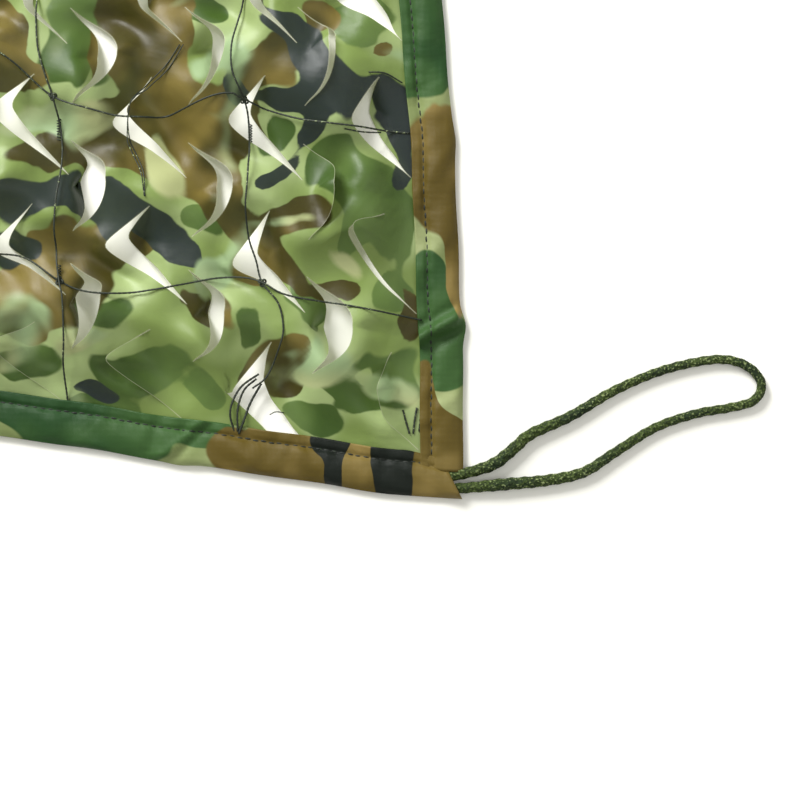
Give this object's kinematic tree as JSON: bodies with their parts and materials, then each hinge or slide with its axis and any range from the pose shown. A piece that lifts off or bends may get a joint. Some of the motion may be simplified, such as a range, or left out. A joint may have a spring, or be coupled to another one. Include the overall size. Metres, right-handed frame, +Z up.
{
  "type": "camouflage net",
  "caption": "Leaf-cut camouflage garnish cloth bound on all sides with folded strips, with a braided rope loop at each corner.",
  "frame": {"origin": "centre of the square between the four corner tips, on the surface that the net lies on", "axes": "+X right along the bottom binding, +Y up the net from the bottom binding to the top one, +Z up from the surface"},
  "size_m": [0.8543, 0.6, 0.0194],
  "materials": {
    "garnish_cloth": "thin coated polyester cloth with a soft sheen, printed in woodland camouflage",
    "binding": "coated oxford cloth, printed in woodland camouflage, with a soft sheen and creases",
    "rope": "braided cord in dark and olive green, with pale flecks"
  },
  "bodies": {
    "root": {"garnish_cloth": "garnish_cloth", "binding_bottom": "binding", "binding_top": "binding", "binding_right": "binding", "binding_left": "binding", "loop_bottom_right": "rope", "loop_top_right": "rope", "loop_top_left": "rope", "loop_bottom_left": "rope"}
  },
  "joints": []
}
